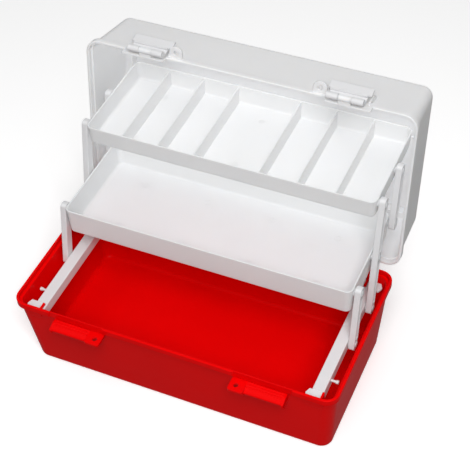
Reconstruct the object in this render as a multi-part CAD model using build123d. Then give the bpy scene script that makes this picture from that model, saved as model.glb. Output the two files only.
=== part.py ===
"""Art supply box: a red tub, a white hinged lid and two trays that rise on linked arms.

Millimetres.  X runs across the box, Y from front to back and Z up.  The origin is the centre of
the tub's underside.  The lid stands open with both trays raised, their rear edges against it.
"""

import os
from math import cos, radians, sin

from build123d import *

# Tub
TUB_LENGTH = 400.0
TUB_DEPTH = 203.0
TUB_HEIGHT = 106.5
TUB_FOOT_LENGTH = 378.0
TUB_FOOT_DEPTH = 178.0
TUB_WALL = 3.0
TUB_FLOOR = 4.0
RIM_HEIGHT = 8.5
RIM_WALL = 3.0
RIM_STEP = 3.2
RIM_RADIUS = 16.0
LEDGE = 2.5

# Lid, given as it sits when closed
LID_LENGTH = 404.0
LID_DEPTH = 205.0
LID_SHOULDER = 190.0
LID_TOP = 200.7
LID_WALL = 2.0
LID_TOP_LENGTH = 392.0
LID_TOP_DEPTH = 192.0
LID_GAP = 0.3
CROWN_LENGTH = 374.0
CROWN_DEPTH = 172.0

# Hinge line and how far the lid stands open
HINGE_Y = 106.5
HINGE_Z = 106.5
OPEN_ANGLE = 99.0
KNUCKLE_RADIUS = 3.6
HINGE_PIN_RADIUS = 1.5
HINGE_XS = (-120.0, 0.0, 120.0)
RUNNING_GAP = 0.08

# Side rails in the tub, the ribs of their seats and the pads on the wall in front of them
RAIL_INNER_X = 165.6
RAIL_WIDTH = 13.8
RAIL_TOP = 92.8
RAIL_HEIGHT = 13.4
RAIL_LENGTH = 185.0
RAIL_WALL = 2.0
TAB_LENGTH = 12.7
TAB_SPANS = {-1: (-16.6, 1.1), 1: (-12.4, 5.2)}
POST_SPANS = {-1: (1.9, 4.4), 1: (5.9, 8.3)}
POST_GAP = 0.3
PAD_X = 174.0
PAD_WIDTH = 20.0
PAD_HEIGHT = 14.0
PAD_PROUD = 0.8

# Pegs, arms and the way the arms lean when the trays are up
PEG_PITCH = 58.0
PEG_RADIUS = 3.0
PEG_HEAD_RADIUS = 3.7
PEG_Z = 87.3
PEG_TIP_X = 188.4
STUD_RADIUS = 1.5
STUD_HEAD_RADIUS = 2.2
TRAY_STUD_TIP_X = 184.3
ARM_SPAN = 72.0
ARM_WIDTH = 11.6
ARM_INNER_X = 180.2
ARM_THICKNESS = 7.4
ARM_WEB = 3.4
ARM_END = 7.4
ARM_CORNER = 4.0
ARM_RIM = 1.5
ARM_LEAN = 11.3

# Trays
TRAY_LENGTH = 357.8
TRAY_DEPTH = 134.0
TRAY_WALL = 1.8
TRAY_DRAFT = 1.8
TRAY_CORNER = 8.0
RIM_SOFTENING = 0.6
TRAY_PEG_DROP = 8.3
TRAY_PEG_INSET = 11.5
LOWER_TRAY_HEIGHT = 36.0
UPPER_TRAY_HEIGHT = 25.0
DIVIDER_XS = (40.2, 86.0, 131.8)
DIVIDER_WALL = 1.8

# Catches, padlock tabs and latches, one set each side of the middle
CATCH_X = 120.0
CATCH_WIDTH = 44.0
LEDGE_Z = 95.8
EAR_WALL = 2.6
RIDGE_RADIUS = 0.7
TAB_X = 87.4
TAB_HOLE_Y = -108.8
TUB_TAB_X = (79.6, 98.0)
TUB_TAB_NOSE = -117.0
LID_TAB_X = (79.4, 95.4)
LID_TAB_NOSE = -116.8
LID_TAB_Z = 110.0
PADLOCK_RADIUS = 2.75
BEAD_Y = -111.0
BEAD_Z = 91.0
BEAD_RADIUS = 2.2
LATCH_Y = -109.5
LATCH_Z = 99.5
LATCH_LENGTH = 26.5
LIP_TIP_Y = -111.4
LATCH_WIDTH = 43.0
LATCH_KNUCKLE = 4.0
GRIP_WIDTH = 50.0
GRIP_HEIGHT = 11.3
LATCH_PIN = 1.6
LATCH_FOLD = 160.0
BLOCK_WIDTH = 15.0
BLOCK_RADIUS = 3.6
SKIRT_Z = 97.4
SKIRT_REACH = 8.5
FIN_WALL = 2.0
FIN_GAP = 2.1

# Carry handle on the crown of the lid
HANDLE_Y = -14.0
HANDLE_Z = LID_TOP + 5.0
HANDLE_HALF = 57.6
HANDLE_REACH = 36.0
HANDLE_PIN = 2.0
HANDLE_HANG = OPEN_ANGLE - 90.0


def prism(length, depth, radius, low, high):
    """An upright block with rounded corners, centred on the Z axis."""
    return extrude(Pos(0, 0, low) * RectangleRounded(length, depth, radius), amount=high - low)


def drafted(foot, top, low, high):
    """A block whose foot and top are (length, depth, corner radius) outlines."""
    return loft([Pos(0, 0, low) * RectangleRounded(*foot), Pos(0, 0, high) * RectangleRounded(*top)])


def brick(x_range, y_range, z_range):
    """An axis-aligned block between three pairs of bounds."""
    size = [high - low for low, high in (x_range, y_range, z_range)]
    middle = [(high + low) / 2 for low, high in (x_range, y_range, z_range)]
    return Pos(*middle) * Box(*size)


def rod(x_low, x_high, y, z, radius):
    """A round bar along X."""
    return Pos((x_low + x_high) / 2, y, z) * Rot(0, 90, 0) * Cylinder(radius, x_high - x_low)


def side_profile(points, x_low, x_high):
    """A closed outline of (y, z) points, extruded along X."""
    outline = Plane.YZ * make_face(Polyline(*points, close=True))
    return Pos(x_low, 0, 0) * extrude(outline, amount=x_high - x_low)


def mirrored(shape):
    """The same shape on the other side of the middle."""
    return mirror(shape, about=Plane.YZ)


def lid_opened(shape):
    """Turn a shape from the closed lid's place to the open lid's."""
    return shape.rotate(Axis((0, HINGE_Y, HINGE_Z), (1, 0, 0)), -OPEN_ANGLE)


def padlock_tab(low, high, root_y, x_range, nose_y, corner):
    """A tab with a padlock hole, on the right-hand side: corner rounds its two front corners."""
    depth = 2 * (root_y - nose_y)
    width = x_range[1] - x_range[0]
    outline = Pos(sum(x_range) / 2, root_y) * RectangleRounded(width, depth, corner)
    tab = extrude(Pos(0, 0, low) * outline, amount=high - low)
    tab &= brick(x_range, (nose_y, root_y), (low, high))
    hole = Pos(TAB_X, TAB_HOLE_Y, low - 1) * extrude(Circle(PADLOCK_RADIUS), amount=high - low + 2)
    return tab, hole


def snap_peg(y, z, root_x):
    """A split peg with a retaining head that stands out of a right-hand side face."""
    peg = rod(root_x, PEG_TIP_X, y, z, PEG_RADIUS)
    peg += rod(root_x, ARM_INNER_X - 0.2, y, z, PEG_RADIUS + 1.6)
    peg += rod(ARM_INNER_X + ARM_WEB + 0.3, PEG_TIP_X, y, z, PEG_HEAD_RADIUS)
    slot = brick((ARM_INNER_X + 1.2, PEG_TIP_X + 1), (y - 5, y + 5), (z - 0.5, z + 0.5))
    return peg - slot


def spare_stud(y, z, root_x, tip_x):
    """A slim headed stud, where a side face has no arm."""
    return rod(root_x, tip_x, y, z, STUD_RADIUS) + rod(tip_x - 3, tip_x, y, z, STUD_HEAD_RADIUS)


# ---- tub ----------------------------------------------------------------------------------


def tub_catch():
    """The right-hand catch: ribbed ledge, bead with end ears, and the padlock tab."""
    left = CATCH_X - CATCH_WIDTH / 2
    right = CATCH_X + CATCH_WIDTH / 2
    ledge = [(-94, LEDGE_Z), (-102, LEDGE_Z), (-108, LEDGE_Z - 1.6), (BEAD_Y, BEAD_Z + BEAD_RADIUS)]
    ledge += [(BEAD_Y, BEAD_Z - BEAD_RADIUS), (-107.5, BEAD_Z - 1), (-94, BEAD_Z - 1)]
    catch = side_profile(ledge, left, right)
    catch += rod(left, right, BEAD_Y, BEAD_Z, BEAD_RADIUS)
    for ear_x in (left - EAR_WALL, right):
        ear = [(-94, LEDGE_Z), (-105, LEDGE_Z), (-114.2, BEAD_Z + 2), (-114.2, BEAD_Z - 2)]
        ear += [(-111.5, BEAD_Z - 5.5), (-94, BEAD_Z - 5.5)]
        catch += side_profile(ear, ear_x, ear_x + EAR_WALL)
    for ridge_y, drop in ((-100.4, 0.1), (-103.2, 0.4), (-106.0, 1.2)):
        catch += rod(left, right, ridge_y, LEDGE_Z - drop, RIDGE_RADIUS)
    tab, hole = padlock_tab(LEDGE_Z - 3.2, LEDGE_Z, -94, TUB_TAB_X, TUB_TAB_NOSE, 3)
    return catch + tab - hole


def tub_rail_seat(wall_block, side):
    """Shelf under the front end of a rail, with the post that stands in the rail's slot."""
    low = RAIL_TOP - RAIL_HEIGHT
    half = RAIL_LENGTH / 2
    centre_x = side * (RAIL_INNER_X + RAIL_WIDTH / 2)
    post_x = [centre_x + bound for bound in POST_SPANS[side]]
    seat = brick((centre_x - 10, centre_x + 10), (-100, 8 - half), (low - 2.5, low))
    seat += brick(post_x, (-100, TAB_LENGTH - 1.5 - half), (low - 2.5, RAIL_TOP + 1.4))
    return seat & wall_block


def tub_front_pad(foot, top, high):
    """The thickened patch of wall in front of the right-hand rail's end."""
    proud_foot = (foot[0], foot[1] + 2 * PAD_PROUD, foot[2])
    proud_top = (top[0], top[1] + 2 * PAD_PROUD, top[2])
    outline = Pos(PAD_X, high - PAD_HEIGHT / 2) * RectangleRounded(PAD_WIDTH, PAD_HEIGHT, 4)
    column = extrude(Plane.XZ.offset(88) * outline, amount=16)
    return drafted(proud_foot, proud_top, 0, high) & column


def tub_hinge(x):
    """Two knuckles on the rear rim with a gap between them for the lid's knuckle."""
    knuckles = Part()
    for low, high in ((x - 17, x - 8), (x + 8, x + 17)):
        knuckles += rod(low, high, HINGE_Y, HINGE_Z, KNUCKLE_RADIUS)
        web = [(100, 99.5), (HINGE_Y, 102.9), (HINGE_Y, HINGE_Z), (100, HINGE_Z)]
        knuckles += side_profile(web, low, high)
    return knuckles


def make_tub():
    """The tub with its stepped rim, catches, rail seats and rear knuckles."""
    rim_low = TUB_HEIGHT - RIM_HEIGHT
    ledge_top = rim_low + LEDGE
    foot = (TUB_FOOT_LENGTH, TUB_FOOT_DEPTH, 14)
    top = (TUB_LENGTH - 2 * RIM_STEP, TUB_DEPTH - 2 * RIM_STEP, RIM_RADIUS - 2)
    outer = drafted(foot, top, 0, ledge_top)
    outer = fillet(outer.faces().sort_by(Axis.Z)[0].edges(), 5)
    wall_block = outer
    rim = prism(TUB_LENGTH, TUB_DEPTH, RIM_RADIUS, rim_low, TUB_HEIGHT)
    rim = chamfer(rim.faces().sort_by(Axis.Z)[0].edges(), 0.8)
    rim = fillet(rim.faces().sort_by(Axis.Z)[-1].edges(), 0.8)
    inner_foot = (foot[0] - 2 * TUB_WALL + 0.4, foot[1] - 2 * TUB_WALL + 0.4, 11)
    inner_top = (top[0] - 2 * TUB_WALL, top[1] - 2 * TUB_WALL, RIM_RADIUS - 5)
    cavity = drafted(inner_foot, inner_top, TUB_FLOOR, ledge_top)
    cavity = fillet(cavity.faces().sort_by(Axis.Z)[0].edges(), 5)
    mouth_size = (TUB_LENGTH - 2 * RIM_WALL, TUB_DEPTH - 2 * RIM_WALL, RIM_RADIUS - RIM_WALL)
    mouth = prism(*mouth_size, ledge_top, TUB_HEIGHT + 1)
    shell = outer + rim - cavity - mouth

    for side in (1, -1):
        seat = tub_rail_seat(wall_block, side)
        shell += seat
        shell += seat.rotate(Axis.Z, 180)
    pad = tub_front_pad(foot, top, ledge_top) - cavity
    shell += pad
    shell += mirrored(pad)

    for side in (1, -1):
        gap_x = sorted((side * 80.5, side * 150.5))
        shell -= brick(gap_x, (-110, -TUB_DEPTH / 2 + 1.6), (rim_low - 1, TUB_HEIGHT + 1))
    catch = tub_catch() - cavity
    shell += catch
    shell += mirrored(catch)
    for x in HINGE_XS:
        shell += tub_hinge(x)
        shell -= rod(x - 20, x + 20, HINGE_Y, HINGE_Z, HINGE_PIN_RADIUS + RUNNING_GAP)
    return shell


# ---- rails, pins, arms ---------------------------------------------------------------------


def rail_end(side):
    """The front end of a rail about its middle: the tab to add, and the step and slot to cut."""
    end = -RAIL_LENGTH / 2
    tab_left, tab_right = TAB_SPANS[side]
    post_low, post_high = POST_SPANS[side]
    corners = [(tab_right, end), (tab_left + 3, end), (tab_left, end + 6.1)]
    corners += [(tab_left + 2.6, end + TAB_LENGTH), (tab_right, end + TAB_LENGTH)]
    tab = Pos(0, 0, RAIL_TOP - 3.2) * extrude(make_face(Polyline(*corners, close=True)), amount=2.4)
    step = brick((-20, 20), (end - 1, end + TAB_LENGTH), (RAIL_TOP - 0.8, RAIL_TOP + 1))
    slot_x = (post_low - POST_GAP, post_high + POST_GAP)
    slot = brick(slot_x, (end - 1, end + TAB_LENGTH - 1), (RAIL_TOP - RAIL_HEIGHT - 1, RAIL_TOP + 1))
    return tab, step + slot


def make_rail(side):
    """A channel rail with a tab at each end, and two snap pegs and a stud on its outer side."""
    low = RAIL_TOP - RAIL_HEIGHT
    outer_x = RAIL_INNER_X + RAIL_WIDTH
    half = RAIL_LENGTH / 2
    bar = brick((RAIL_INNER_X, outer_x), (-half, half), (low, RAIL_TOP))
    bar = fillet(bar.edges().filter_by(Axis.Y).group_by(Axis.Z)[-1], 0.8)
    hollow_x = (RAIL_INNER_X + RAIL_WALL, outer_x - RAIL_WALL)
    hollow_y = (TAB_LENGTH - half, half - TAB_LENGTH)
    bar -= brick(hollow_x, hollow_y, (low - 1, RAIL_TOP - RAIL_WALL))
    for y in (0, PEG_PITCH):
        bar += snap_peg(y, PEG_Z, outer_x - 1)
    bar += spare_stud(-PEG_PITCH, PEG_Z, outer_x - 1, PEG_TIP_X)
    if side < 0:
        bar = mirrored(bar)
    # The back end is made like the other rail's front end, turned half round.
    middle = Pos(side * (RAIL_INNER_X + RAIL_WIDTH / 2), 0, 0)
    for end_side, turn in ((side, 0), (-side, 180)):
        tab, cut = rail_end(end_side)
        bar -= middle * cut.rotate(Axis.Z, turn)
        bar += middle * (tab - cut).rotate(Axis.Z, turn)
    return bar


def make_hinge_pin(x):
    """A steel pin through one set of knuckles."""
    pin = rod(x - 17.5, x + 17.5, HINGE_Y, HINGE_Z, HINGE_PIN_RADIUS)
    return chamfer(pin.edges(), 0.3)


def make_arm(spans, foot_y, foot_z):
    """A right-hand arm: a channel open outwards, with a hole at its foot and at every span."""
    reach = spans * ARM_SPAN
    outline = Pos(0, reach / 2) * RectangleRounded(ARM_WIDTH, reach + 2 * ARM_END, ARM_CORNER)
    arm = extrude(Plane.YZ * outline, amount=ARM_THICKNESS)
    arm = fillet(arm.faces().sort_by(Axis.X)[-1].edges(), 0.6)
    arm = fillet(arm.faces().sort_by(Axis.X)[0].edges(), 0.8)
    half = ARM_WIDTH / 2 - ARM_RIM
    rib_half = PEG_HEAD_RADIUS + 2.4
    for step in range(spans):
        z_range = (step * ARM_SPAN + rib_half, (step + 1) * ARM_SPAN - rib_half)
        pocket = brick((ARM_WEB, ARM_THICKNESS + 1), (-half, half), z_range)
        arm -= fillet(pocket.edges().filter_by(Axis.X), 1.5)
    for step in range(spans + 1):
        height = step * ARM_SPAN
        arm -= rod(ARM_WEB, ARM_THICKNESS + 1, 0, height, PEG_HEAD_RADIUS + 0.5)
        arm -= rod(-1, ARM_WEB + 1, 0, height, PEG_RADIUS + RUNNING_GAP)
    return Pos(ARM_INNER_X, foot_y, foot_z) * Rot(-ARM_LEAN, 0, 0) * arm


# ---- trays ---------------------------------------------------------------------------------


def make_tray(level, height):
    """An open tray with a peg on each side for every arm; level counts arm spans up from the rails."""
    peg_y = (level - 1) * PEG_PITCH + level * ARM_SPAN * sin(radians(ARM_LEAN))
    peg_z = PEG_Z + level * ARM_SPAN * cos(radians(ARM_LEAN))
    rim_z = peg_z + TRAY_PEG_DROP
    middle_y = peg_y - TRAY_PEG_INSET + TRAY_DEPTH / 2
    low = rim_z - height
    foot = (TRAY_LENGTH - 2 * TRAY_DRAFT, TRAY_DEPTH - 2 * TRAY_DRAFT, TRAY_CORNER - 1)
    outer = drafted(foot, (TRAY_LENGTH, TRAY_DEPTH, TRAY_CORNER), low, rim_z)
    outer = fillet(outer.faces().sort_by(Axis.Z)[0].edges(), 3)
    inner_foot = (foot[0] - 2 * TRAY_WALL, foot[1] - 2 * TRAY_WALL, TRAY_CORNER - 2.5)
    inner_top = (TRAY_LENGTH - 2 * TRAY_WALL, TRAY_DEPTH - 2 * TRAY_WALL, TRAY_CORNER - 2)
    cavity = drafted(inner_foot, inner_top, low + TRAY_WALL, rim_z)
    cavity = fillet(cavity.faces().sort_by(Axis.Z)[0].edges(), 3)
    tray = outer - cavity
    tray = fillet(tray.faces().sort_by(Axis.Z)[-1].edges(), RIM_SOFTENING)
    if level == 2:
        tray += tray_dividers(low, rim_z) & outer
    tray = Pos(0, middle_y, 0) * tray
    root_x = TRAY_LENGTH / 2 - TRAY_WALL
    pegs = [snap_peg(peg_y + step * PEG_PITCH, peg_z, root_x) for step in range(4 - level)]
    if level == 2:
        pegs.append(spare_stud(peg_y + 2 * PEG_PITCH, peg_z, root_x, TRAY_STUD_TIP_X))
    for peg in pegs:
        tray += peg
        tray += mirrored(peg)
    return tray


def tray_dividers(low, rim_z):
    """Six walls that part the upper tray into three narrow, one wide and three narrow bays."""
    walls = Part()
    for x in DIVIDER_XS:
        for side in (1, -1):
            bounds = (side * x - DIVIDER_WALL / 2, side * x + DIVIDER_WALL / 2)
            walls += brick(bounds, (-TRAY_DEPTH / 2, TRAY_DEPTH / 2), (low + 1, rim_z - 1.2))
    return walls


# ---- lid -----------------------------------------------------------------------------------


def lid_latch_mount(x):
    """The skirt, block and stub pins that carry one latch, and the fins at its sides."""
    left = x - LATCH_WIDTH / 2
    right = x + LATCH_WIDTH / 2
    block_x = (x - BLOCK_WIDTH / 2, x + BLOCK_WIDTH / 2)
    mount = brick((left - 0.8, right + SKIRT_REACH), (-102.6, -100.2), (SKIRT_Z, SKIRT_Z + 10.4))
    mount += brick(block_x, (LATCH_Y, -101), (LATCH_Z - 2, LATCH_Z + BLOCK_RADIUS))
    mount += rod(*block_x, LATCH_Y, LATCH_Z, BLOCK_RADIUS)
    mount += rod(left, right, LATCH_Y, LATCH_Z, LATCH_PIN)
    fin = [(-98, 107.2), (-105.5, 110), (-106.5, 126), (-96, 138)]
    for fin_x in (left - FIN_GAP - FIN_WALL, right + FIN_GAP):
        mount += side_profile(fin, fin_x, fin_x + FIN_WALL)
    return mount


def lid_handle_ears():
    """Two ears on the crown with bores for the handle's pins."""
    ears = Part()
    for side in (1, -1):
        ear_x = sorted((side * (HANDLE_HALF + 0.4), side * (HANDLE_HALF + 6.4)))
        ears += brick(ear_x, (HANDLE_Y - 5, HANDLE_Y + 5), (LID_TOP - 1, HANDLE_Z))
        ears += rod(*ear_x, HANDLE_Y, HANDLE_Z, 5)
    return ears


def make_lid():
    """The lid with its stepped rim, raised crown, padlock tabs, latch blocks and knuckles."""
    rim_low = TUB_HEIGHT + LID_GAP
    rim_top = rim_low + RIM_HEIGHT
    rim = prism(LID_LENGTH, LID_DEPTH, RIM_RADIUS + 1, rim_low, rim_top)
    rim = chamfer(rim.faces().sort_by(Axis.Z)[-1].edges(), 0.8)
    rim = fillet(rim.faces().sort_by(Axis.Z)[0].edges(), 0.8)
    ledge_z = rim_top - LEDGE
    foot = (LID_LENGTH - 5.6, LID_DEPTH - 5.4, RIM_RADIUS - 1)
    top = (LID_TOP_LENGTH, LID_TOP_DEPTH, RIM_RADIUS - 3)
    outer = drafted(foot, top, ledge_z, LID_SHOULDER)
    outer = fillet(outer.faces().sort_by(Axis.Z)[-1].edges(), 6)
    crown = prism(CROWN_LENGTH, CROWN_DEPTH, RIM_RADIUS - 3, LID_SHOULDER - 1, LID_TOP)
    crown = fillet(crown.faces().sort_by(Axis.Z)[-1].edges(), 4)
    thin = 2 * LID_WALL
    inner_foot = (foot[0] - thin, foot[1] - thin, foot[2] - 2)
    inner_top = (top[0] - thin, top[1] - thin, top[2] - 2)
    cavity = drafted(inner_foot, inner_top, ledge_z, LID_SHOULDER - LID_WALL)
    cavity = fillet(cavity.faces().sort_by(Axis.Z)[-1].edges(), 4)
    crown_size = (CROWN_LENGTH - thin, CROWN_DEPTH - thin, RIM_RADIUS - 5)
    cavity += prism(*crown_size, LID_SHOULDER - 6, LID_TOP - LID_WALL)
    mouth_size = (LID_LENGTH - 2 * RIM_WALL, LID_DEPTH - 2 * RIM_WALL, RIM_RADIUS - 2)
    mouth = prism(*mouth_size, rim_low - 1, ledge_z)
    tab, hole = padlock_tab(LID_TAB_Z, LID_TAB_Z + 3.2, -99.5, LID_TAB_X, LID_TAB_NOSE, 7.8)
    front = lid_latch_mount(CATCH_X) + tab
    lid = outer + crown + rim + front + mirrored(front) - cavity - mouth
    lid -= hole
    lid -= mirrored(hole)
    for x in HINGE_XS:
        lid += rod(x - 7.6, x + 7.6, HINGE_Y, HINGE_Z, KNUCKLE_RADIUS)
        web = [(101.0, 107.4), (HINGE_Y, 107.4), (HINGE_Y + 2.5, 109.0), (101.0, rim_top - 0.5)]
        lid += side_profile(web, x - 7.6, x + 7.6)
        lid -= rod(x - 10, x + 10, HINGE_Y, HINGE_Z, HINGE_PIN_RADIUS + RUNNING_GAP)
    lid += lid_handle_ears()
    lid -= rod(-70, 70, HANDLE_Y, HANDLE_Z, HANDLE_PIN + 0.02)
    return lid_opened(lid)


def make_latch(side):
    """A snap latch: two knuckles, a plate and a lip that hooks under the tub's bead."""
    outer_face = LATCH_Y - 6.7
    inner_face = LATCH_Y - 4.5
    foot = LATCH_Z - LATCH_LENGTH
    lip_top = BEAD_Z - BEAD_RADIUS - 0.4
    left = CATCH_X - LATCH_WIDTH / 2
    right = CATCH_X + LATCH_WIDTH / 2
    window = BLOCK_WIDTH / 2 + 0.3
    plate = [(outer_face, LATCH_Z - 5), (outer_face - 0.8, foot + 1), (outer_face, foot)]
    plate += [(inner_face - 0.8, foot), (inner_face, lip_top - 2.4), (LIP_TIP_Y, lip_top - 1.6)]
    plate += [(LIP_TIP_Y, lip_top), (inner_face, lip_top), (inner_face, LATCH_Z - 5)]
    latch = side_profile(plate, left, right)
    grip_x = (CATCH_X - GRIP_WIDTH / 2, CATCH_X + GRIP_WIDTH / 2)
    grip = [(outer_face, foot + GRIP_HEIGHT), (outer_face - 0.8, foot + 1), (outer_face, foot)]
    grip += [(inner_face - 0.8, foot), (inner_face, foot + GRIP_HEIGHT)]
    latch += side_profile(grip, *grip_x)
    shoulder = [(LATCH_Y - 2.8, LATCH_Z + 2.8), (outer_face, LATCH_Z - 3), (outer_face, LATCH_Z - 6)]
    shoulder += [(inner_face, LATCH_Z - 6), (LATCH_Y - 1, LATCH_Z - 3.8)]
    for low, high in ((left, CATCH_X - window), (CATCH_X + window, right)):
        latch += side_profile(shoulder, low, high)
        latch += rod(low, high, LATCH_Y, LATCH_Z, LATCH_KNUCKLE)
    latch -= rod(left - 1, right + 1, LATCH_Y, LATCH_Z, LATCH_PIN + RUNNING_GAP)
    latch = latch.rotate(Axis((0, LATCH_Y, LATCH_Z), (1, 0, 0)), -LATCH_FOLD)
    if side < 0:
        latch = mirrored(latch)
    return lid_opened(latch)


def make_handle():
    """A bail handle: two pivoted arms and a rounded grip, hanging from the crown."""
    arm_low = HANDLE_HALF - 7
    grip_y = HANDLE_Y + HANDLE_REACH
    handle = Part()
    for side in (1, -1):
        arm_x = sorted((side * arm_low, side * HANDLE_HALF))
        handle += brick(arm_x, (HANDLE_Y, grip_y), (HANDLE_Z - 3.5, HANDLE_Z + 3.5))
        handle += rod(*arm_x, HANDLE_Y, HANDLE_Z, 4.2)
    grip = brick((-HANDLE_HALF, HANDLE_HALF), (grip_y - 8, grip_y + 6), (HANDLE_Z - 3.5, HANDLE_Z + 4.5))
    handle += fillet(grip.edges(), 2.5)
    handle -= rod(-70, 70, HANDLE_Y, HANDLE_Z, HANDLE_PIN + RUNNING_GAP)
    handle = handle.rotate(Axis((0, HANDLE_Y, HANDLE_Z), (1, 0, 0)), HANDLE_HANG)
    return lid_opened(handle)


def make_handle_pin(side):
    """A plain pin from an ear into the handle's arm."""
    span = sorted((side * (HANDLE_HALF - 8), side * (HANDLE_HALF + 6.8)))
    return lid_opened(rod(*span, HANDLE_Y, HANDLE_Z, HANDLE_PIN))


def build_parts():
    """Every separate piece by name."""
    lean_y = ARM_SPAN * sin(radians(ARM_LEAN))
    lean_z = ARM_SPAN * cos(radians(ARM_LEAN))
    arms = {
        "short_arm": make_arm(1, 0, PEG_Z),
        "long_arm": make_arm(2, PEG_PITCH, PEG_Z),
        "rear_arm": make_arm(1, 2 * PEG_PITCH + lean_y, PEG_Z + lean_z),
    }
    pieces = {
        "base_tub": make_tub(),
        "rail_left": make_rail(-1),
        "rail_right": make_rail(1),
        "lower_tray": make_tray(1, LOWER_TRAY_HEIGHT),
        "upper_tray": make_tray(2, UPPER_TRAY_HEIGHT),
        "lid_shell": make_lid(),
        "latch_left": make_latch(-1),
        "latch_right": make_latch(1),
        "carry_handle": make_handle(),
        "handle_pin_left": make_handle_pin(-1),
        "handle_pin_right": make_handle_pin(1),
    }
    for name, x in zip(("left", "middle", "right"), HINGE_XS):
        pieces[f"hinge_pin_{name}"] = make_hinge_pin(x)
    for name, arm in arms.items():
        pieces[f"{name}_right"] = arm
        pieces[f"{name}_left"] = mirrored(arm)
    return pieces


def main():
    """Write one STEP file per piece."""
    os.makedirs("parts", exist_ok=True)
    for name, shape in build_parts().items():
        export_step(shape, f"parts/{name}.step")


main()
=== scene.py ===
"""Art supply box: finishes, moulding marks, floor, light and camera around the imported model.

Everything is in metres, in the model's own frame: X across the box, Y front to back, Z up.
"""

import math

import bpy
from mathutils import Matrix, Vector


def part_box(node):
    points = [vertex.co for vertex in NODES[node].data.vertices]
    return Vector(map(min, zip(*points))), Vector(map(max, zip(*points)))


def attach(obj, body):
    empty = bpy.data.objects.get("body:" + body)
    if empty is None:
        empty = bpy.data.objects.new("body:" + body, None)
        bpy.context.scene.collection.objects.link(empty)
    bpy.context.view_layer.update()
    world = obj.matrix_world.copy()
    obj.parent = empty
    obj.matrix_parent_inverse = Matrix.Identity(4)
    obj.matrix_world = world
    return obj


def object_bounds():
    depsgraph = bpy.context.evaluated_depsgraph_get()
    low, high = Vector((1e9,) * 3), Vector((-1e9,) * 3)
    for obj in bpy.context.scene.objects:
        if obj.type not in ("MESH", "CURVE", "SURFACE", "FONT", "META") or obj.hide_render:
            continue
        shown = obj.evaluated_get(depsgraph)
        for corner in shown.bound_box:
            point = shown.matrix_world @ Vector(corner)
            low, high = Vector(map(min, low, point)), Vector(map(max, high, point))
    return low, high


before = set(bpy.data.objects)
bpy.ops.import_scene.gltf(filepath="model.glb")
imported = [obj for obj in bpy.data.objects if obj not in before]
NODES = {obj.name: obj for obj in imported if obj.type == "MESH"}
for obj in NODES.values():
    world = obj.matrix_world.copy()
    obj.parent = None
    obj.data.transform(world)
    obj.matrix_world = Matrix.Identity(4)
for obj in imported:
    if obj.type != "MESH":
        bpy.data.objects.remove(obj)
CAD_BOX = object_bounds()
SIDES = ("left", "right")
MM = 0.001

# Camera
CAMERA_PLACE = Vector((0.4469, -0.8291, 1.1570))
CAMERA_AIM = Vector((0.0037, 0.0820, 0.1200))
CAMERA_ROLL = math.radians(-3.33)
CAMERA_LENS = 92.8
CAMERA_SHIFT = (0.0013, -0.0045)

# Floor
FLOOR_SIZE = 8.0
FLOOR_DROP = 0.3 * MM
FLOOR_COLOUR = (0.95, 0.95, 0.95)
FLOOR_ROUGHNESS = 0.85
FLOOR_GLOW = 0.25

# Light: the sky fades into the ground across a band around the horizon
SKY_STRENGTH = 0.30
GROUND_STRENGTH = 0.25
HORIZON_BAND = (-0.15, 0.25)
LIGHTS = {
    "key": {"place": (0.66, -1.12, 1.85), "size": 1.1, "power": 36.0},
    "top": {"place": (-0.5, -0.6, 2.2), "size": 1.6, "power": 7.0},
}
LIGHT_AIM = Vector((0.0, 0.04, 0.12))

# Finishes: linear colours
WHITE = (1.0, 1.0, 1.0, 1.0)
RED = (0.810, 0.0006, 0.0010)
RED_DEEP = (0.770, 0.0005, 0.0008)
TRAY_WHITE = (0.785, 0.79, 0.795)
LID_WHITE = (0.81, 0.81, 0.815)
FITTING_WHITE = (0.74, 0.74, 0.75)
STEEL = (0.62, 0.62, 0.63)

# Moulded plastic: noise scales in cycles per metre, and the band of each noise that shows
DRIFT_SCALE = 9.0
DRIFT_BAND = (0.35, 0.65)
UNEVEN_BAND = (0.3, 0.7)
UNEVEN_ROUGHNESS = (-0.025, 0.035)
SPECKLE_SCALE = 700.0
WAVE_SCALE = 55.0
WAVE_DEPTH = 0.10 * MM
SCUFF_SCALE = 60.0
SCUFF_STRETCH = (1.0, 14.0, 3.0)
SCUFF_BAND = (0.56, 0.74)
SCUFF_ROUGHNESS = 0.10
SCRATCH_SCALE = 110.0
SCRATCH_STRETCH = (9.0, 0.5, 2.0)
SCRATCH_BAND = (0.66, 0.72)
SCRATCH_ROUGHNESS = 0.10
SCRATCH_DEPTH = 0.004 * MM
PLASTIC_IOR = 1.49
SCATTER_DEPTH = 6.0 * MM
SCATTER_TINT = (1.0, 0.93, 0.86)

# Edges: softened, and painted a little paler all along, partly as a painted highlight on the rounded
# edges and partly as wear
EDGE_RADIUS = 0.7 * MM
EDGE_FACING = (0.80, 0.99)
EDGE_HIGHLIGHT_AND_WEAR = 0.45
PALE_EDGE_GAIN = 1.10
PALE_EDGE_LIFT = 0.012
PALE_EDGE_LIMIT = 0.92

# Steel wire and floor paper
WIRE_LINE_SCALE = 900.0
WIRE_LINE_STRETCH = (0.03, 1.0, 1.0)
WIRE_LINE_BAND = (0.3, 0.7)
WIRE_LINE_DEPTH = 0.01 * MM
WIRE_ROUGHNESS = (0.22, 0.38)
STAIN_SCALE = 180.0
STAIN_SHADE = 0.75
PAPER_TOOTH_SCALE = 500.0
PAPER_TOOTH_DEPTH = 0.02 * MM

# Moulding marks: rings of low relief
RING_STEPS = 36
MARK_LIFT = 0.02 * MM
EJECTOR_RING_WIDTH = 0.6 * MM
EJECTOR_RING_HEIGHT = 0.12 * MM
GATE_RING_RADIUS = 3.0 * MM
GATE_RING_WIDTH = 0.8 * MM
GATE_RING_HEIGHT = 0.15 * MM

# Sockets of the Mix node that carry colours
MIX_FIRST = 6
MIX_SECOND = 7
MIX_RESULT = 2


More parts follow.
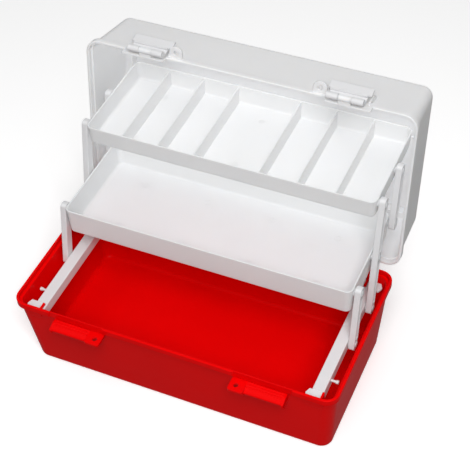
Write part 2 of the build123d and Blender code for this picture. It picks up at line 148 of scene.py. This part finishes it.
# ---- material helpers --------------------------------------------------------------------------


def add_node(tree, kind, **settings):
    """A shader node with its properties set."""
    node = tree.nodes.new(kind)
    for name, value in settings.items():
        setattr(node, name, value)
    return node


def feed(tree, target, source):
    """Link a socket to another, or set it to a constant."""
    if isinstance(source, bpy.types.NodeSocket):
        tree.links.new(source, target)
    else:
        target.default_value = source


def noise(tree, place, scale, detail=2.0, stretch=(1, 1, 1)):
    """Noise at a scale in cycles per metre, stretched along the axes."""
    mapping = add_node(tree, "ShaderNodeMapping")
    mapping.inputs["Scale"].default_value = stretch
    feed(tree, mapping.inputs["Vector"], place)
    texture = add_node(tree, "ShaderNodeTexNoise")
    feed(tree, texture.inputs["Vector"], mapping.outputs["Vector"])
    texture.inputs["Scale"].default_value = scale
    texture.inputs["Detail"].default_value = detail
    return texture.outputs["Fac"]


def remap(tree, value, band, low=0.0, high=1.0):
    """A value carried linearly, and clamped, from a band to the range between low and high."""
    node = add_node(tree, "ShaderNodeMapRange")
    feed(tree, node.inputs["Value"], value)
    for socket, bound in zip(("From Min", "From Max", "To Min", "To Max"), (*band, low, high)):
        node.inputs[socket].default_value = bound
    return node.outputs["Result"]


def blend_colours(tree, factor, first, second):
    """Mix a colour or a coloured socket with a second colour, by a factor."""
    node = add_node(tree, "ShaderNodeMix", data_type="RGBA")
    feed(tree, node.inputs["Factor"], factor)
    feed(tree, node.inputs[MIX_FIRST], first if isinstance(first, bpy.types.NodeSocket) else (*first, 1))
    feed(tree, node.inputs[MIX_SECOND], (*second, 1))
    return node.outputs[MIX_RESULT]


def math_node(tree, operation, first, second):
    """Arithmetic on two values."""
    node = add_node(tree, "ShaderNodeMath", operation=operation)
    feed(tree, node.inputs[0], first)
    feed(tree, node.inputs[1], second)
    return node.outputs[0]


def bump(tree, height, distance, normal=None):
    """A normal bent by a height map of the given depth in metres."""
    node = add_node(tree, "ShaderNodeBump")
    node.inputs["Distance"].default_value = distance
    node.inputs["Strength"].default_value = 1.0
    feed(tree, node.inputs["Height"], height)
    if normal is not None:
        feed(tree, node.inputs["Normal"], normal)
    return node.outputs["Normal"]


def edge_mask(tree, rounded_normal):
    """One on edges, where the rounded normal leaves the true one, and zero on flat faces."""
    geometry = add_node(tree, "ShaderNodeNewGeometry")
    facing = add_node(tree, "ShaderNodeVectorMath", operation="DOT_PRODUCT")
    feed(tree, facing.inputs[0], rounded_normal)
    feed(tree, facing.inputs[1], geometry.outputs["Normal"])
    return remap(tree, facing.outputs["Value"], EDGE_FACING, 1.0, 0.0)


def start_material(name):
    """A new material, with its node tree, its shader and the object's own coordinates."""
    material = bpy.data.materials.new(name)
    material.use_nodes = True
    tree = material.node_tree
    place = add_node(tree, "ShaderNodeTexCoord").outputs["Object"]
    return material, tree, tree.nodes["Principled BSDF"], place


def shaded(colour, factor):
    """A colour brought down by a factor."""
    return tuple(channel * factor for channel in colour)


# ---- finishes ----------------------------------------------------------------------------------


def moulded_plastic(name, colour, deep_colour, roughness, shine, translucency, grain):
    """Injection-moulded plastic: fine grain, slow colour drift, scuffs, and softened edges painted paler
    as a painted highlight and as wear.
    """
    material, tree, shader, place = start_material(name)
    drift = noise(tree, place, DRIFT_SCALE, 3.0)
    speckle = noise(tree, place, SPECKLE_SCALE)
    waves = noise(tree, place, WAVE_SCALE, 1.0)
    scuffs = noise(tree, place, SCUFF_SCALE, 4.0, SCUFF_STRETCH)
    scratches = noise(tree, place, SCRATCH_SCALE, 2.0, SCRATCH_STRETCH)
    rounded = add_node(tree, "ShaderNodeBevel", samples=4)
    rounded.inputs["Radius"].default_value = EDGE_RADIUS

    tone = blend_colours(tree, remap(tree, drift, DRIFT_BAND), deep_colour, colour)
    # The edges are painted paler: partly a painted highlight along the rounded edges, partly wear.
    highlit_worn_edge = tuple(min(PALE_EDGE_LIMIT, channel * PALE_EDGE_GAIN + PALE_EDGE_LIFT) for channel in colour)
    edge_highlight_and_wear = math_node(tree, "MULTIPLY", edge_mask(tree, rounded.outputs["Normal"]), EDGE_HIGHLIGHT_AND_WEAR)
    feed(tree, shader.inputs["Base Color"], blend_colours(tree, edge_highlight_and_wear, tone, highlit_worn_edge))

    dull = remap(tree, drift, UNEVEN_BAND, *UNEVEN_ROUGHNESS)
    dull = math_node(tree, "ADD", dull, remap(tree, scuffs, SCUFF_BAND, high=SCUFF_ROUGHNESS))
    dull = math_node(tree, "ADD", dull, remap(tree, scratches, SCRATCH_BAND, high=SCRATCH_ROUGHNESS))
    feed(tree, shader.inputs["Roughness"], math_node(tree, "ADD", dull, roughness))

    normal = bump(tree, speckle, grain, rounded.outputs["Normal"])
    normal = bump(tree, waves, WAVE_DEPTH, normal)
    normal = bump(tree, remap(tree, scratches, SCRATCH_BAND), -SCRATCH_DEPTH, normal)
    feed(tree, shader.inputs["Normal"], normal)

    shader.inputs["IOR"].default_value = PLASTIC_IOR
    shader.inputs["Specular IOR Level"].default_value = shine
    shader.inputs["Subsurface Weight"].default_value = translucency
    shader.inputs["Subsurface Scale"].default_value = SCATTER_DEPTH
    shader.inputs["Subsurface Radius"].default_value = SCATTER_TINT
    return material


def drawn_steel(name, colour):
    """Bright steel wire, drawn along X."""
    material, tree, shader, place = start_material(name)
    lines = noise(tree, place, WIRE_LINE_SCALE, 3.0, WIRE_LINE_STRETCH)
    stain = noise(tree, place, STAIN_SCALE, 3.0)
    tone = blend_colours(tree, stain, shaded(colour, STAIN_SHADE), colour)
    feed(tree, shader.inputs["Base Color"], tone)
    feed(tree, shader.inputs["Roughness"], remap(tree, lines, WIRE_LINE_BAND, *WIRE_ROUGHNESS))
    feed(tree, shader.inputs["Normal"], bump(tree, lines, WIRE_LINE_DEPTH))
    shader.inputs["Metallic"].default_value = 1.0
    return material


def plain_floor(name):
    """Matt paper sweep with a faint tooth and a glow of its own."""
    material, tree, shader, place = start_material(name)
    tooth = noise(tree, place, PAPER_TOOTH_SCALE)
    feed(tree, shader.inputs["Normal"], bump(tree, tooth, PAPER_TOOTH_DEPTH))
    shader.inputs["Base Color"].default_value = (*FLOOR_COLOUR, 1)
    shader.inputs["Roughness"].default_value = FLOOR_ROUGHNESS
    shader.inputs["Emission Color"].default_value = WHITE
    shader.inputs["Emission Strength"].default_value = FLOOR_GLOW
    return material


def finish_nodes(material, names):
    """Give CAD nodes a material in every slot."""
    for name in names:
        mesh = NODES[name].data
        if not mesh.materials:
            mesh.materials.append(material)
        for index in range(len(mesh.materials)):
            mesh.materials[index] = material


red_plastic = moulded_plastic("red_plastic", RED, RED_DEEP, roughness=0.34, shine=0.05,
                              translucency=0.0, grain=0.010 * MM)
tray_plastic = moulded_plastic("tray_plastic", TRAY_WHITE, shaded(TRAY_WHITE, 0.975), roughness=0.38,
                               shine=0.25, translucency=0.6, grain=0.010 * MM)
lid_plastic = moulded_plastic("lid_plastic", LID_WHITE, shaded(LID_WHITE, 0.97), roughness=0.36,
                              shine=0.25, translucency=0.85, grain=0.012 * MM)
fitting_plastic = moulded_plastic("fitting_plastic", FITTING_WHITE, shaded(FITTING_WHITE, 0.97),
                                  roughness=0.34, shine=0.25, translucency=0.2, grain=0.008 * MM)
steel = drawn_steel("drawn_steel", STEEL)

FITTINGS = [f"{piece}_{side}" for side in SIDES
            for piece in ("rail", "latch", "short_arm", "long_arm", "rear_arm")]
PINS = ["hinge_pin_left", "hinge_pin_middle", "hinge_pin_right", "handle_pin_left", "handle_pin_right"]
finish_nodes(red_plastic, ["base_tub"])
finish_nodes(tray_plastic, ["lower_tray", "upper_tray"])
finish_nodes(lid_plastic, ["lid_shell"])
finish_nodes(fitting_plastic, ["carry_handle", *FITTINGS])
finish_nodes(steel, PINS)

# The thin white lid and upper tray let light through, so they cast no hard shadow.
for thin_piece in ("lid_shell", "upper_tray"):
    NODES[thin_piece].visible_shadow = False


# ---- moulding marks ----------------------------------------------------------------------------


def ring_mesh(name, radius, width, height, centres, up):
    """Low raised rings with sloped flanks, lying flat at each centre and standing up or down."""
    mesh = bpy.data.meshes.new(name)
    section = [(0.0, 0.0), (width * 0.3, height), (width * 0.7, height), (width, 0.0)]
    points, faces = [], []
    for centre in centres:
        start = len(points)
        for step in range(RING_STEPS):
            angle = 2 * math.pi * step / RING_STEPS
            for out, rise in section:
                reach = radius + out
                points.append((centre[0] + reach * math.cos(angle), centre[1] + reach * math.sin(angle),
                               centre[2] + up * rise))
        for step in range(RING_STEPS):
            for edge in range(len(section) - 1):
                here = start + step * len(section) + edge
                there = start + (step + 1) % RING_STEPS * len(section) + edge
                corners = (here, there, there + 1, here + 1)
                faces.append(corners if up < 0 else corners[::-1])
    mesh.from_pydata(points, [], faces)
    mesh.validate()
    return mesh


def add_mark(name, mesh, material, body):
    """Put a marking piece in the scene, with a finish and a body to ride on."""
    mesh.materials.append(material)
    mark = bpy.data.objects.new(name, mesh)
    bpy.context.scene.collection.objects.link(mark)
    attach(mark, body)


def foot_middle(node):
    """Y and Z of the middle of the underside of a tray or the tub."""
    low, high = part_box(node)
    # The tub's tabs reach out at the front, but its foot is centred on the frame.
    middle_y = 0.0 if node == "base_tub" else (low[1] + high[1]) / 2
    return middle_y, low[2]


def ejector_marks(node, body, material, wall, radius, counts, spread):
    """Witness rings of the ejector pins, in rows on the inner floor of a tray or the tub."""
    name = node + "_ejector_marks"
    middle_y, underside = foot_middle(node)
    centres = []
    for column in range(counts[0]):
        for row in range(counts[1]):
            across = (column - (counts[0] - 1) / 2) * spread[0]
            along = (row - (counts[1] - 1) / 2) * spread[1]
            centres.append((across, middle_y + along, underside + wall + MARK_LIFT))
    mesh = ring_mesh(name, radius, EJECTOR_RING_WIDTH, EJECTOR_RING_HEIGHT, centres, 1)
    add_mark(name, mesh, material, body)


def gate_mark(node, body, material, depth):
    """The ring round the injection gate, under a tray's floor."""
    name = node + "_gate_ring"
    middle_y, underside = foot_middle(node)
    centres = [(0.0, middle_y, underside + depth)]
    mesh = ring_mesh(name, GATE_RING_RADIUS, GATE_RING_WIDTH, GATE_RING_HEIGHT, centres, -1)
    add_mark(name, mesh, material, body)


ejector_marks("base_tub", "base", red_plastic, wall=4.0 * MM, radius=5.0 * MM,
              counts=(4, 2), spread=(0.085, 0.10))
ejector_marks("lower_tray", "lower_tray", tray_plastic, wall=1.8 * MM, radius=3.5 * MM,
              counts=(4, 2), spread=(0.084, 0.075))
ejector_marks("upper_tray", "upper_tray", tray_plastic, wall=1.8 * MM, radius=2.5 * MM,
              counts=(3, 2), spread=(0.128, 0.080))
for tray in ("lower_tray", "upper_tray"):
    gate_mark(tray, tray, tray_plastic, depth=0.16 * MM)


# ---- floor, light and camera -------------------------------------------------------------------


def make_floor():
    """A wide pale floor just under the box, unseen by bounced and reflected light."""
    mesh = bpy.data.meshes.new("floor")
    half = FLOOR_SIZE / 2
    level = CAD_BOX[0][2] - FLOOR_DROP
    corners = [(-half, -half, level), (half, -half, level), (half, half, level), (-half, half, level)]
    mesh.from_pydata(corners, [], [(0, 1, 2, 3)])
    mesh.materials.append(plain_floor("paper_sweep"))
    floor = bpy.data.objects.new("floor", mesh)
    floor.visible_diffuse = False
    floor.visible_glossy = False
    bpy.context.scene.collection.objects.link(floor)


def make_light(name, place, size, power):
    """A round soft light that faces the box."""
    light = bpy.data.lights.new(name, "AREA")
    light.shape = "DISK"
    light.size = size
    light.energy = power
    holder = bpy.data.objects.new(name, light)
    holder.location = place
    holder.rotation_euler = (LIGHT_AIM - Vector(place)).to_track_quat("-Z", "Y").to_euler()
    bpy.context.scene.collection.objects.link(holder)


def make_world():
    """White surroundings, a little dimmer below the horizon than above it."""
    world = bpy.data.worlds.new("studio")
    bpy.context.scene.world = world
    world.use_nodes = True
    tree = world.node_tree
    place = add_node(tree, "ShaderNodeTexCoord").outputs["Generated"]
    height = add_node(tree, "ShaderNodeSeparateXYZ")
    feed(tree, height.inputs[0], place)
    strength = remap(tree, height.outputs["Z"], HORIZON_BAND, GROUND_STRENGTH, SKY_STRENGTH)
    feed(tree, tree.nodes["Background"].inputs["Strength"], strength)
    tree.nodes["Background"].inputs["Color"].default_value = WHITE


def make_camera():
    """The camera, above the box's front right corner."""
    camera = bpy.data.cameras.new("camera")
    camera.lens = CAMERA_LENS
    camera.shift_x, camera.shift_y = CAMERA_SHIFT
    holder = bpy.data.objects.new("camera", camera)
    aim = (CAMERA_AIM - CAMERA_PLACE).to_track_quat("-Z", "Y").to_matrix().to_4x4()
    holder.matrix_world = Matrix.Translation(CAMERA_PLACE) @ aim @ Matrix.Rotation(CAMERA_ROLL, 4, "Z")
    bpy.context.scene.collection.objects.link(holder)
    bpy.context.scene.camera = holder


make_floor()
for light_name, light in LIGHTS.items():
    make_light(light_name, **light)
make_world()
make_camera()
bpy.context.scene.view_settings.view_transform = "Standard"
